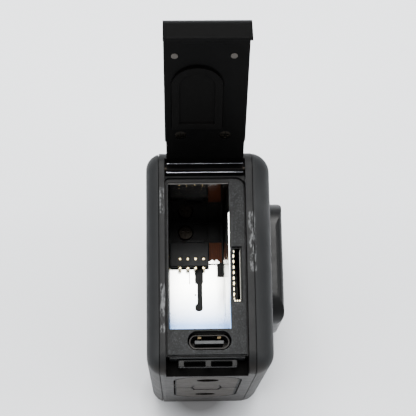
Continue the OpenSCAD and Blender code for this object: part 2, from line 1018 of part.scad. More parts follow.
module lens_side_finger() {
    color("#4c4b4a")
    translate([0, 0, 2 * fingers_z])
        mirror([0, 0, 1])
            finger_form();
}

// ---------- removable lens cover ----------

module lens_cover() {
    color("#2a2b2e")
    difference() {
        intersection() {
            along_y(cover_y0, cover_y1)
                translate([lens_x, lens_z])
                    round_rect(cover_tall, cover_side, cover_r);
            along_x(lens_x - 20, lens_x + 20)
                translate([cover_y0 + 10, lens_z])
                    round_rect(20, cover_side, 1.8);
            along_z(lens_z - 20, lens_z + 20)
                translate([lens_x, cover_y0 + 10])
                    round_rect(cover_tall, 20, 1.8);
        }
        // socket for the mount ring
        rod_y(lens_x, lens_z, 12.3, cover_y1 - 3.0, cover_y1 + 1);
        rod_y(lens_x, lens_z, window_r, cover_y0 - 1, cover_y1);
        // seat of the glass
        rod_y(lens_x, lens_z, window_r + 1.5, cover_y0 + 0.45, cover_y0 + 1.85);
    }
}

module cover_glass() {
    color([0.08, 0.09, 0.11, 0.5])
    rod_y(lens_x, lens_z, window_r + 1.4, cover_y0 + 0.5, cover_y0 + 1.8);
}

// Rubber ring that presses on the mount ring
module cover_seal() {
    color("#17181a")
    difference() {
        rod_y(lens_x, lens_z, 12.2, cover_y1 - 3.0, cover_y1 - 2.6);
        rod_y(lens_x, lens_z, 10.6, cover_y1 - 4, cover_y1);
    }
}

mid_frame();
front_shell();
rear_shell();
frame_gaskets();
side_panel();
door_seal();
bay_walls();
bay_ceiling_sheet();
bay_liner();
contact_block();
battery_contacts();
flex_strip();
bay_boss();
port_housing();
port_tongue();
port_contacts();
card_reader();
card_contacts();
latch_keeper();
hinge_pin();
front_glass();
front_display();
rear_glass();
rear_display();
lens_barrel();
front_element();
inner_elements();
lens_mount();
sensor_board();
main_board();
processor_shield();
heat_spreader();
shutter_seal();
shutter_switch();
mode_seal();
mode_switch();
speaker();
speaker_mesh();
microphones();
status_lights();
finger_pins();
housing_screws();
accessory_cradle();
door_panel();
door_plate();
door_pad();
door_screws();
door_magnets();
door_latch();
shutter_button();
mode_button();
door_side_finger();
lens_side_finger();
lens_cover();
cover_glass();
cover_seal();
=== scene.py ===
"""Looks of the action camera: materials, detailed shells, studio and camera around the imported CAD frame."""
import json
import math

import bmesh
import bpy
from mathutils import Matrix, Vector


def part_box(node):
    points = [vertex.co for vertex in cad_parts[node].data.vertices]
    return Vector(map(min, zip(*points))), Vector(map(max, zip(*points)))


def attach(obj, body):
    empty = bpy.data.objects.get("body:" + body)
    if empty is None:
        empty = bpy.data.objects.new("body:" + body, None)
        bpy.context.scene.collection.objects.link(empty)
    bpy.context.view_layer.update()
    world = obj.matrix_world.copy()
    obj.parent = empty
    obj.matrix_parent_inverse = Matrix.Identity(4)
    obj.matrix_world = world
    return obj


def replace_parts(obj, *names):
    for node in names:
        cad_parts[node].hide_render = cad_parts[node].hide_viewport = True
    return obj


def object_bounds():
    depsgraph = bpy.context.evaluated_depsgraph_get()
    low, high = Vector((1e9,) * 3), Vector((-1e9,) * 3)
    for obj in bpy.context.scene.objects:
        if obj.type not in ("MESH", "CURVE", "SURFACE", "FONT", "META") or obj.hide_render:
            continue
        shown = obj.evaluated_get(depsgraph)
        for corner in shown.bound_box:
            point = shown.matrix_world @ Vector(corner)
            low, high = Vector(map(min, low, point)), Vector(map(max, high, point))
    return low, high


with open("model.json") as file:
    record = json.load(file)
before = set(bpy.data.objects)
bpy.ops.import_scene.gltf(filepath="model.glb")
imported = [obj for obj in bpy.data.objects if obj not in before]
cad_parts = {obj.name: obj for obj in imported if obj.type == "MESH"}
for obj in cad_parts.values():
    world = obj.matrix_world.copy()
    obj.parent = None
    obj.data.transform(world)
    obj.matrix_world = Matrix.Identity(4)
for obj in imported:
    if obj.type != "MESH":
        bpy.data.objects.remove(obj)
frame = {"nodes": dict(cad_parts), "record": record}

MM = 0.001
cad_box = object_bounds()


# ---------- material building ----------

class Finish:
    """A node material with one Principled shader, in object coordinates."""

    def __init__(self, name):
        self.material = bpy.data.materials.new(name)
        self.material.use_nodes = True
        self.tree = self.material.node_tree
        self.tree.nodes.clear()
        output = self.add("ShaderNodeOutputMaterial")
        self.shader = self.add("ShaderNodeBsdfPrincipled")
        self.tree.links.new(self.shader.outputs[0], output.inputs["Surface"])
        self.place = self.add("ShaderNodeTexCoord").outputs["Object"]

    def add(self, kind, inputs=None, **settings):
        """New node; an input is a value or the socket that feeds it."""
        node = self.tree.nodes.new(kind)
        for key, value in settings.items():
            setattr(node, key, value)
        for key, value in (inputs or {}).items():
            self.put(node.inputs[key], value)
        return node

    def put(self, socket, value):
        if isinstance(value, bpy.types.NodeSocket):
            self.tree.links.new(value, socket)
        elif isinstance(value, tuple) and len(value) == 3 and socket.type == "RGBA":
            socket.default_value = (*value, 1)
        else:
            socket.default_value = value

    def set(self, **values):
        """Sets the shader's sockets, by short names."""
        names = {"colour": "Base Color", "rough": "Roughness", "metal": "Metallic", "normal": "Normal",
                 "specular": "Specular IOR Level", "coat": "Coat Weight", "coat_rough": "Coat Roughness",
                 "aniso": "Anisotropic"}
        for key, value in values.items():
            self.put(self.shader.inputs[names[key]], value)

    def math(self, operation, a, b=0.0, clamp=False):
        node = self.add("ShaderNodeMath", operation=operation, use_clamp=clamp)
        self.put(node.inputs[0], a)
        self.put(node.inputs[1], b)
        return node.outputs[0]

    def stretched(self, stretch):
        return self.add("ShaderNodeMapping", {"Vector": self.place, "Scale": stretch}).outputs[0]

    def noise(self, size, detail=3.0, rough=0.55, stretch=None, seed=0.0):
        """Noise from 0 to 1 whose features are about size metres across."""
        place = self.stretched(stretch) if stretch else self.place
        inputs = {"Vector": place, "W": seed, "Scale": 1 / size, "Detail": detail, "Roughness": rough}
        return self.add("ShaderNodeTexNoise", inputs, noise_dimensions="4D").outputs["Fac"]

    def cells(self, size):
        """Distance to the nearest border between cells about size metres across."""
        inputs = {"Vector": self.place, "Scale": 1 / size}
        return self.add("ShaderNodeTexVoronoi", inputs, feature="DISTANCE_TO_EDGE").outputs["Distance"]

    def spread(self, value, low, high, to_low=0.0, to_high=1.0):
        """Maps low..high to to_low..to_high and clamps there."""
        inputs = {"Value": value, "From Min": low, "From Max": high, "To Min": to_low, "To Max": to_high}
        return self.add("ShaderNodeMapRange", inputs).outputs["Result"]

    def mix(self, factor, a, b):
        node = self.add("ShaderNodeMix", data_type="RGBA")
        self.put(node.inputs["Factor"], factor)
        self.put(node.inputs["A"], a)
        self.put(node.inputs["B"], b)
        return node.outputs["Result"]

    def bump(self, height, depth, normal=None):
        """Raises the surface by height times depth, in metres."""
        inputs = {"Height": height, "Distance": depth, "Strength": 1.0}
        if normal:
            inputs["Normal"] = normal
        return self.add("ShaderNodeBump", inputs).outputs[0]

    def soft_edges(self, radius):
        """Normals that run round sharp edges with this radius."""
        return self.add("ShaderNodeBevel", {"Radius": radius}, samples=4).outputs[0]

    def inside(self, low, high, blur):
        """1 in a box of object space, 0 outside it; a side given as None is open."""
        axes = self.add("ShaderNodeSeparateXYZ", {"Vector": self.place}).outputs
        mask = 1.0
        for axis, a, b in zip(("X", "Y", "Z"), low, high):
            if a is not None:
                mask = self.math("MULTIPLY", self.spread(axes[axis], a - blur, a + blur), mask)
            if b is not None:
                mask = self.math("MULTIPLY", self.spread(axes[axis], b - blur, b + blur, 1.0, 0.0), mask)
        return mask

    def shade(self, mask, colour):
        """Mixes another colour over the present one."""
        socket = self.shader.inputs["Base Color"]
        self.put(socket, self.mix(mask, socket.links[0].from_socket, colour))

    def normal(self):
        return self.add("ShaderNodeNewGeometry").outputs["Normal"]

    def near_edges(self, radius, low, high):
        """0 on flat faces and up to 1 within this radius of a sharp edge."""
        inputs = {0: self.soft_edges(radius), 1: self.normal()}
        straight = self.add("ShaderNodeVectorMath", inputs, operation="DOT_PRODUCT").outputs["Value"]
        return self.spread(self.math("SUBTRACT", 1.0, straight), low, high)

    def worn_and_lit_edges(self, radius):
        """1 at sharp edges and 0 on flat faces, broken up by noise; it lightens edges partly as wear and
        partly as a painted highlight.
        """
        broken = self.spread(self.noise(0.9 * MM, 4), 0.42, 0.62)
        return self.math("MULTIPLY", self.near_edges(radius, 0.02, 0.25), broken, clamp=True)

    def axis(self, name, vector=None):
        """One coordinate of a vector, or of the place in object space."""
        return self.add("ShaderNodeSeparateXYZ", {"Vector": vector or self.place}).outputs[name]


def tone(level, warm=0.0):
    """Linear grey, slightly blue at warm below 0 and slightly brown above it."""
    return (level * (1 + warm), level, level * (1 - warm))


def moulded(name, level, rough=0.5, grain=0.12 * MM, depth=0.004 * MM, warm=-0.03, specular=0.5,
            edge=0.12 * MM, wear_and_highlight=0.25, patch=7 * MM, sparkle=0.0):
    """Moulded plastic or rubber: fine grain, slow tone changes, smudged gloss, painted glints, and slightly
    polished edges that are lightened partly as wear and partly as a painted highlight.
    """
    f = Finish(name)
    slow = f.noise(patch, 4, 0.6)
    fine = f.noise(grain, 2, 0.5, seed=2.0)
    base = f.mix(f.spread(slow, 0.3, 0.7), tone(level * 0.86, warm), tone(level * 1.14, warm))
    speck = f.mix(f.spread(fine, 0.35, 0.75, 0.0, 0.35), base, tone(level * 1.8, warm))
    # edges lightened in colour: part wear, part painted highlight
    worn = f.math("MULTIPLY", f.worn_and_lit_edges(edge), wear_and_highlight)
    smudge = f.noise(2.4 * MM, 5, 0.65, seed=5.0)
    glints = f.math("MULTIPLY", f.spread(f.noise(grain, 2, 0.6, seed=9.0), 0.50, 0.72), sparkle)
    f.set(colour=f.mix(glints, f.mix(worn, speck, tone(level * 5 + 0.02, warm)), tone(0.10, warm)),
          rough=f.spread(smudge, 0.25, 0.75, rough - 0.06, rough + 0.08),
          specular=specular, coat=0.0, coat_rough=0.15,
          normal=f.bump(fine, depth, f.soft_edges(edge)))
    return f


def metal(name, colour, rough, brush=(1, 1, 1), depth=0.0006 * MM, edge=0.06 * MM, aniso=0.0, patch=3 * MM):
    """Bare metal with brushing along one axis, light stains and soft edges."""
    f = Finish(name)
    lines = f.noise(0.10 * MM, 3, 0.6, brush)
    stain = f.noise(patch, 4, 0.6, seed=3.0)
    darker = tuple(c * 0.84 for c in colour)
    f.set(colour=f.mix(f.spread(stain, 0.3, 0.7), darker, colour), metal=1.0, aniso=aniso,
          rough=f.spread(lines, 0.25, 0.75, rough * 0.75, rough * 1.3),
          normal=f.bump(lines, depth, f.soft_edges(edge)))
    return f


def mirror_sheet():
    """Polished sheet, slightly rippled and smoky, with dull cut edges."""
    f = Finish("mirror_sheet")
    ripple = f.noise(5 * MM, 2, 0.5, (1, 1, 0.4))
    stain = f.noise(2.5 * MM, 5, 0.6, seed=3.0)
    cut = f.math("GREATER_THAN", f.axis("Z", f.normal()), 0.7)
    polished = f.mix(f.spread(stain, 0.3, 0.7), (0.18, 0.172, 0.16), (0.25, 0.24, 0.225))
    f.set(colour=f.mix(cut, polished, (0.035, 0.034, 0.033)), metal=1.0,
          rough=f.math("ADD", f.spread(stain, 0.3, 0.7, 0.05, 0.11), f.math("MULTIPLY", cut, 0.4)),
          normal=f.bump(ripple, 0.006 * MM))
    return f


def bright_liner():
    """Bright stamped steel, brushed along the bay, with painted shade: darker and bluer towards its lower
    end, in streaks on the flange and over the flange's upper part.
    """
    f = Finish("bright_liner")
    along = f.axis("X")
    lines = f.noise(0.10 * MM, 3, 0.6, (0.12, 1, 1))
    stain = f.noise(4 * MM, 4, 0.6, seed=3.0)
    shade_blue = f.mix(f.spread(stain, 0.3, 0.7), (0.085, 0.145, 0.26), (0.115, 0.185, 0.33))
    warm = f.mix(f.spread(stain, 0.3, 0.7), (0.90, 0.90, 0.86), (0.97, 0.97, 0.93))
    # painted shade: darker and bluer towards the lower end
    f.set(colour=f.mix(f.spread(along, -9 * MM, 1 * MM), shade_blue, warm), metal=1.0, aniso=0.3,
          rough=f.spread(lines, 0.25, 0.75, 0.16, 0.28),
          normal=f.bump(lines, 0.0008 * MM, f.soft_edges(0.08 * MM)))
    # painted shade in streaks on the flange
    crease_shade = f.inside((None, None, 40 * MM), (-6 * MM, -4.4 * MM, 62 * MM), 3 * MM)
    shade_streaks = f.spread(f.noise(3 * MM, 3, 0.6, (0.3, 1, 1), 6.0), 0.5, 0.62)
    f.shade(f.math("MULTIPLY", crease_shade, shade_streaks), (0.03, 0.035, 0.04))
    # painted shade over the flange's upper part
    f.shade(f.inside((-4 * MM, None, None), (None, -4.4 * MM, 60 * MM), 2 * MM), (0.02, 0.02, 0.02))
    return f


def display_glass():
    """Dark glass over a display that is switched off, with faint smears."""
    f = Finish("display_glass")
    smear = f.noise(6 * MM, 5, 0.6, (1, 1, 0.4))
    lines = f.noise(0.05 * MM, 2, 0.5, (1, 1, 0.02), 4.0)
    f.set(colour=f.mix(f.spread(smear, 0.35, 0.7), (0.0020, 0.0021, 0.0026), (0.0036, 0.0038, 0.0046)),
          rough=f.spread(smear, 0.3, 0.8, 0.05, 0.12), specular=0.20,
          normal=f.bump(lines, 0.0001 * MM, f.soft_edges(0.15 * MM)))
    return f


def lens_glass():
    """Dark coated glass with a green and violet bloom."""
    f = Finish("lens_glass")
    facing = f.add("ShaderNodeLayerWeight", {"Blend": 0.35}).outputs["Facing"]
    dust = f.spread(f.noise(0.5 * MM, 4, 0.7), 0.70, 0.86)
    bloom = f.mix(facing, (0.0020, 0.0040, 0.0060), (0.012, 0.004, 0.016))
    f.set(colour=f.mix(f.math("MULTIPLY", dust, 0.10), bloom, (0.03, 0.03, 0.03)),
          rough=f.spread(dust, 0, 1, 0.03, 0.12), specular=0.22)
    return f


def window_glass():
    """The lens cover's window: dark coated glass, opaque because a see-through pane rendered as speckle."""
    f = Finish("cover_window")
    facing = f.add("ShaderNodeLayerWeight", {"Blend": 0.4}).outputs["Facing"]
    smear = f.noise(4 * MM, 4, 0.6)
    bloom = f.mix(facing, (0.0030, 0.0050, 0.0075), (0.010, 0.006, 0.014))
    f.set(colour=f.mix(f.math("MULTIPLY", smear, 0.25), bloom, (0.014, 0.016, 0.019)),
          rough=f.spread(smear, 0.3, 0.8, 0.04, 0.10), specular=0.2)
    return f


def amber_film():
    """Polyimide film with buried tracks that run along its length."""
    f = Finish("amber_film")
    tracks = f.math("PINGPONG", f.axis("Y"), 0.28 * MM)
    buried = f.spread(tracks, 0.10 * MM, 0.14 * MM)
    mottle = f.noise(0.8 * MM, 4, 0.6)
    base = f.mix(mottle, (0.085, 0.020, 0.0035), (0.150, 0.036, 0.006))
    f.set(colour=f.mix(f.math("MULTIPLY", buried, 0.45), base, (0.055, 0.012, 0.0025)),
          rough=f.spread(mottle, 0.3, 0.7, 0.40, 0.52), specular=0.12, normal=f.bump(buried, 0.01 * MM))
    return f


def circuit_board():
    """Green solder mask over woven laminate, with raised tracks."""
    f = Finish("circuit_board")
    tracks = f.spread(f.cells(1.6 * MM), 0.04, 0.06)
    weave = f.noise(0.3 * MM, 3, 0.5)
    f.set(colour=f.mix(tracks, (0.02, 0.13, 0.06), f.mix(weave, (0.006, 0.06, 0.03), (0.012, 0.085, 0.04))),
          rough=f.spread(weave, 0.3, 0.7, 0.28, 0.4), coat=0.3, normal=f.bump(tracks, 0.02 * MM))
    return f


def woven_mesh():
    """Fine wire mesh with dark holes."""
    f = Finish("woven_mesh")
    wires = [f.math("PINGPONG", f.axis(k), 0.15 * MM) for k in ("X", "Z")]
    over = f.math("MAXIMUM", wires[0], wires[1])
    seen = f.spread(over, 0.06 * MM, 0.12 * MM)
    f.set(colour=f.mix(seen, (0.02, 0.02, 0.02), (0.35, 0.35, 0.36)), metal=0.9, rough=0.4,
          normal=f.bump(seen, 0.05 * MM))
    return f


def milky_window():
    """Cloudy plastic over a status light."""
    f = Finish("milky_window")
    cloud = f.noise(0.5 * MM, 4, 0.6)
    f.set(colour=f.mix(cloud, (0.50, 0.48, 0.42), (0.72, 0.70, 0.64)),
          rough=f.spread(cloud, 0.3, 0.7, 0.2, 0.35), coat=0.4, normal=f.soft_edges(0.1 * MM))
    return f


FINISHES = {
    "soft_shell": moulded("soft_shell", 0.0078, 0.55, 0.10 * MM, 0.006 * MM, -0.05, 0.13, 0.25 * MM, 0.06),
    "frame": moulded("frame", 0.0050, 0.52, 0.14 * MM, 0.008 * MM, -0.02, 0.12, 0.20 * MM, 0.10,
                     sparkle=0.03),
    "seal": moulded("seal", 0.0015, 0.42, 0.2 * MM, 0.002 * MM, 0.0, 0.10, 0.05 * MM, 0.05),
    "panel": moulded("panel", 0.0024, 0.50, 0.27 * MM, 0.032 * MM, -0.08, 0.13, 0.12 * MM, 0.20,
                     sparkle=0.20),
    "bay": moulded("bay", 0.0035, 0.45, 0.20 * MM, 0.006 * MM, 0.04, 0.12, 0.08 * MM, 0.2),
    "block": moulded("block", 0.0080, 0.42, 0.15 * MM, 0.006 * MM, -0.06, 0.16, 0.10 * MM, 0.12),
    "keeper": moulded("keeper", 0.0050, 0.50, 0.15 * MM, 0.006 * MM, 0.02, 0.14, 0.14 * MM, 0.45),
    "mirror": mirror_sheet(),
    "liner": bright_liner(),
    "steel": metal("steel", (0.80, 0.81, 0.83), 0.30, (1, 8, 1), aniso=0.3),
    "gold": metal("gold", (1.0, 0.84, 0.50), 0.24),
    "bead": metal("bead", (0.42, 0.43, 0.47), 0.16, (1, 0.1, 1)),
    "guide": metal("guide", (0.011, 0.011, 0.011), 0.36),
    "rail": metal("rail", (0.12, 0.115, 0.10), 0.32, (0.2, 1, 1), patch=0.7 * MM),
    "spring": metal("spring", (0.62, 0.54, 0.38), 0.22),
    "screw": metal("screw", (0.026, 0.023, 0.019), 0.26, patch=0.8 * MM, edge=0.12 * MM),
    "dark_steel": metal("dark_steel", (0.020, 0.017, 0.014), 0.42, edge=0.12 * MM),
    "port_steel": metal("port_steel", (0.011, 0.0105, 0.010), 0.28, edge=0.10 * MM),
    "port_plastic": moulded("port_plastic", 0.017, 0.40, 0.2 * MM, 0.002 * MM, -0.10, 0.3, 0.06 * MM, 0.2),
    "old_gold": metal("old_gold", (0.055, 0.042, 0.024), 0.40),
    "oval": moulded("oval", 0.050, 0.5, 0.2 * MM, 0.01 * MM, 0.12, 0.3, 0.2 * MM, 0.2, 0.8 * MM),
    "display_back": moulded("display_back", 0.006, 0.4),
    "lens_black": moulded("lens_black", 0.004, 0.38, 0.15 * MM, 0.002 * MM, 0.0, 0.3, 0.1 * MM, 0.15),
    "aluminium": metal("aluminium", (0.72, 0.73, 0.74), 0.35, (8, 1, 1)),
    "can": metal("can", (0.50, 0.50, 0.51), 0.34),
    "speaker": moulded("speaker", 0.006, 0.5),
    "door": moulded("door", 0.0007, 0.42, 0.10 * MM, 0.003 * MM, 0.05, 0.05, 0.12 * MM, 0.10),
    "pad": moulded("pad", 0.0012, 0.50, 0.08 * MM, 0.003 * MM, 0.08, 0.05, 0.15 * MM, 0.06),
    "button": moulded("button", 0.0080, 0.45, 0.10 * MM, 0.006 * MM, -0.04, 0.3, 0.2 * MM, 0.12),
    "cradle": moulded("cradle", 0.0280, 0.55, 0.16 * MM, 0.008 * MM, 0.14, 0.05, 0.15 * MM, 0.05),
    "finger": moulded("finger", 0.0280, 0.55, 0.16 * MM, 0.008 * MM, 0.14, 0.05, 0.15 * MM, 0.05),
    # near-black sheet that stands in for the shade in the lip's pocket
    "shade_sheet": moulded("shade_sheet", 0.0006, 0.60, 0.16 * MM, 0.004 * MM, 0.10, 0.03, 0.05 * MM, 0.0),
    "apron": moulded("apron", 0.0040, 0.45, 0.20 * MM, 0.010 * MM, -0.12, 0.14, 0.12 * MM, 0.10),
    "cover": moulded("cover", 0.0042, 0.36, 0.08 * MM, 0.002 * MM, -0.03, 0.17, 0.2 * MM, 0.10),
    "glass": display_glass(),
    "lens_glass": lens_glass(),
    "window": window_glass(),
    "amber": amber_film(),
    "board": circuit_board(),
    "mesh": woven_mesh(),
    "milky": milky_window(),
}

NODE_FINISH = {
    "soft_shell": ("front_shell", "rear_shell"),
    "frame": ("mid_frame",),
    "cradle": ("accessory_cradle",),
    "seal": ("frame_gaskets", "door_seal", "shutter_seal", "mode_seal", "cover_seal"),
    "panel": ("side_panel",),
    "bay": ("bay_walls",),
    "block": ("contact_block",),
    "keeper": ("latch_keeper",),
    "mirror": ("bay_ceiling_sheet",),
    "liner": ("bay_liner",),
    "steel": ("processor_shield",),
    "gold": ("battery_contacts", "card_contacts"),
    "old_gold": ("port_contacts",),
    "guide": ("card_reader",),
    "dark_steel": ("bay_boss", "housing_screws", "door_screws", "hinge_pin", "finger_pins"),
    "port_steel": ("port_housing",),
    "port_plastic": ("port_tongue",),
    "oval": ("door_magnets",),
    "display_back": ("front_display", "rear_display"),
    "lens_black": ("lens_barrel", "lens_mount"),
    "aluminium": ("heat_spreader",),
    "can": ("shutter_switch", "mode_switch", "microphones"),
    "speaker": ("speaker",),
    "door": ("door_panel", "door_plate", "door_latch"),
    "pad": ("door_pad",),
    "button": ("shutter_button", "mode_button"),
    "finger": ("door_side_finger", "lens_side_finger"),
    "cover": ("lens_cover",),
    "glass": ("front_glass", "rear_glass"),
    "lens_glass": ("front_element", "inner_elements"),
    "window": ("cover_glass",),
    "amber": ("flex_strip",),
    "board": ("sensor_board", "main_board"),
    "mesh": ("speaker_mesh",),
    "milky": ("status_lights",),
}


OPEN = (None, None, None)
RIM_Z = 70.6 * MM
# Scuffs on the rim of the door's end, in millimetres: lowest and highest x, lowest and highest y.
SCUFFS = ((-3.0, 10.5, -10.4, -8.9), (10.4, 16.4, 10.0, 11.0), (-16.5, -5.7, 9.7, 10.9))


def mark_shells():
    """Scuffed rims, a painted warm reflection of the floor on the bottom face, and dust with a painted sheen
    on one shoulder.
    """
    for name in ("frame", "soft_shell"):
        f = FINISHES[name]
        broken = f.spread(f.noise(0.7 * MM, 5, 0.7, (0.45, 1.5, 1), 7.0), 0.49, 0.60)
        patches = [f.inside((x0 * MM, y0 * MM, RIM_Z), (x1 * MM, y1 * MM, None), 0.25 * MM)
                   for x0, x1, y0, y1 in SCUFFS]
        worn = f.math("ADD", f.math("ADD", patches[0], patches[1]), patches[2])
        f.shade(f.math("MULTIPLY", f.math("MULTIPLY", worn, broken), 0.7), tone(0.13, -0.02))
        # painted warm reflection of the floor: the bottom face lighter and browner
        bottom = f.inside(OPEN, (-24.0 * MM, None, None), 1.0 * MM)
        f.shade(f.math("MULTIPLY", bottom, 0.75), tone(0.012, 0.17))
    shell = FINISHES["soft_shell"]
    # dust and painted sheen: the shoulder lightened in cloudy patches
    dust_and_sheen = shell.inside((7 * MM, None, 56 * MM), (16 * MM, -11 * MM, None), 4 * MM)
    cloudy = shell.spread(shell.noise(3 * MM, 5, 0.6, (0.3, 1, 1), 4.0), 0.3, 0.7)
    shell.shade(shell.math("MULTIPLY", dust_and_sheen, cloudy), tone(0.026, -0.02))


def paint_shade_in_pockets():
    """Painted shade in the pockets of the panel, the keeper and the mount, and painted shade along the
    mount's edges, side walls and gaps.
    """
    panel, keeper, cradle, finger = (FINISHES[name] for name in ("panel", "keeper", "cradle", "finger"))
    # painted shade at the panel's upper end, where its edge wall lies in shadow
    panel.shade(panel.inside((17.7 * MM, -4.8 * MM, None), (19.5 * MM, None, None), 0.1 * MM), tone(0.0006))
    # painted shade on the keeper below its top
    keeper.shade(keeper.inside(OPEN, (None, None, 68.6 * MM), 0.12 * MM), tone(0.0006))
    # painted shade on the cradle's recessed floor
    cradle.shade(cradle.inside((-25.0 * MM, None, None), OPEN, 0.1 * MM), tone(0.0008))
    for f in (cradle, finger):
        # painted shade along the mount's sharp edges
        f.shade(f.near_edges(0.5 * MM, 0.01, 0.10), tone(0.0012))
        # painted shade on faces that turn sideways: walls of holes and gaps
        sideways_shade = f.math("LESS_THAN", f.math("ABSOLUTE", f.axis("X", f.normal())), 0.5)
        f.shade(sideways_shade, tone(0.0022, 0.3))
    # painted shade in bands along the finger's sides, at its gaps
    low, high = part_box("door_side_finger")
    for corners in ((OPEN, (None, low.y + 0.55 * MM, None)), ((None, high.y - 0.3 * MM, None), OPEN)):
        finger.shade(finger.inside(*corners, 0.08 * MM), tone(0.0010))


mark_shells()
paint_shade_in_pockets()


def paint(piece, finish):
    piece.data.materials.clear()
    piece.data.materials.append(FINISHES[finish].material)


for finish, nodes in NODE_FINISH.items():
    for name in nodes:
        paint(frame["nodes"][name], finish)


# ---------- pieces built in mesh code ----------

SHARP = math.radians(32)
PAST = 1 * MM  # how far a cutter reaches past the surface that it opens


def add_object(name, data):
    thing = bpy.data.objects.new(name, data)
    bpy.context.scene.collection.objects.link(thing)
    return thing


def piece_from(bm, name, body, finish):
    """Turns a bmesh into a piece on a body, smooth apart from its sharp edges."""
    bmesh.ops.recalc_face_normals(bm, faces=bm.faces)
    mesh = bpy.data.meshes.new(name)
    bm.to_mesh(mesh)
    bm.free()
    piece = add_object(name, mesh)
    mark_sharp(mesh)
    if finish:
        paint(piece, finish)
    if body:
        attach(piece, body)
    return piece


def mark_sharp(mesh):
    """Smooth shading, broken at edges sharper than SHARP."""
    bm = bmesh.new()
    bm.from_mesh(mesh)
    for face in bm.faces:
        face.smooth = True
    for edge in bm.edges:
        edge.smooth = edge.calc_face_angle(math.pi) < SHARP
    bm.to_mesh(mesh)
    bm.free()


def loft(bm, rings):
    """Closed skin over rings of points with the same count, with a face at each end."""
    made = [[bm.verts.new(point) for point in ring] for ring in rings]
    count = len(made[0])
    for a, b in zip(made, made[1:]):
        for k in range(count):
            n = (k + 1) % count
            bm.faces.new((a[k], a[n], b[n], b[k]))
    bm.faces.new(made[0][::-1])
    bm.faces.new(made[-1])


def round_outline(half_w, half_h, radius, steps=10):
    """Rectangle with round corners, anticlockwise round the origin."""
    points = []
    for sx, sy, start in ((1, 1, 0), (-1, 1, 90), (-1, -1, 180), (1, -1, 270)):
        for k in range(steps + 1):
            angle = math.radians(start + 90 * k / steps)
            points.append((sx * (half_w - radius) + radius * math.cos(angle),
                           sy * (half_h - radius) + radius * math.sin(angle)))
    return points


def circle(radius, count):
    angles = [2 * math.pi * k / count for k in range(count)]
    return [(radius * math.cos(angle), radius * math.sin(angle)) for angle in angles]


def middle_of(node, u, v):
    """Middle of a node's box along two axes."""
    low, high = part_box(node)
    return tuple((getattr(low, axis) + getattr(high, axis)) / 2 for axis in (u, v))


def prism(bm, outline, centre, low, high, axis="Y"):
    """Extrudes an outline between two planes across an axis; the outline lies in the other two."""
    def at(u, v, w):
        u, v = u + centre[0], v + centre[1]
        return {"Y": (u, w, v), "Z": (u, v, w), "X": (w, u, v)}[axis]
    loft(bm, [[at(u, v, w) for u, v in outline] for w in (low, high)])


def carve(piece, cutter_bm, operation="DIFFERENCE"):
    """Cuts a bmesh out of a piece's mesh, or joins it on with UNION, exactly."""
    cutter = piece_from(cutter_bm, "cutter", None, None)
    cut = piece.modifiers.new("carve", "BOOLEAN")
    cut.operation, cut.solver, cut.object = operation, "EXACT", cutter
    cut.use_self = True
    old = piece.data
    depsgraph = bpy.context.evaluated_depsgraph_get()
    piece.data = bpy.data.meshes.new_from_object(piece.evaluated_get(depsgraph))
    piece.modifiers.clear()
    piece.data.name = piece.name
    bpy.data.meshes.remove(old)
    bpy.data.objects.remove(cutter)
    mark_sharp(piece.data)


# ---------- housing covers ----------

CORNER_R = 4.8 * MM
WALL = 2.2 * MM
LENS_HOLE_R = 12.4 * MM
LIGHT_HOLE_R = 0.8 * MM
GROOVE_DEPTH = 0.45 * MM
shell_box = [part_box("front_shell"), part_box("rear_shell")]
half_x = (shell_box[0][1].x - shell_box[0][0].x) / 2
half_z = (shell_box[0][1].z - shell_box[0][0].z) / 2
mid_z = (shell_box[0][1].z + shell_box[0][0].z) / 2


def cover_skin(name, node, seam_y, face_y, edge_r):
    """Cover of the housing whose fillet runs round the corners, with a small chamfer at the seam."""
    out = math.copysign(1, face_y - seam_y)
    full = face_y - out * edge_r
    chamfer = 0.12 * MM
    stations = [(seam_y, chamfer), (seam_y + out * chamfer, 0.0)]
    steps = 14
    for k in range(1 if out * (full - seam_y) < 0.3 * MM else 0, steps + 1):
        turn = math.radians(90 * k / steps)
        y = full + out * edge_r * math.sin(turn)
        if out * (y - seam_y) > 2 * chamfer:
            stations.append((y, edge_r * (1 - math.cos(turn))))
    stations.append((face_y, edge_r + 0.03 * MM))
    rings = []
    for y, inset in stations:
        depth = max(0.0, out * (y - full)) / edge_r
        inset = max(inset, edge_r * (1 - math.sqrt(max(0.0, 1 - depth * depth)))) if inset < edge_r else inset
        outline = round_outline(half_x - inset, half_z - inset, max(CORNER_R - inset, 0.2 * MM))
        rings.append([(u, y, v + mid_z) for u, v in outline])
    bm = bmesh.new()
    loft(bm, rings)
    piece = piece_from(bm, name, "housing", "soft_shell")
    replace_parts(piece, node)
    return piece


def hollow(piece, low_y, high_y):
    """Hollows a cover from its seam, leaving a wall round the sides."""
    cut = bmesh.new()
    prism(cut, round_outline(half_x - WALL, half_z - WALL, 2.4 * MM, 6), (0, mid_z), low_y, high_y)
    carve(piece, cut)


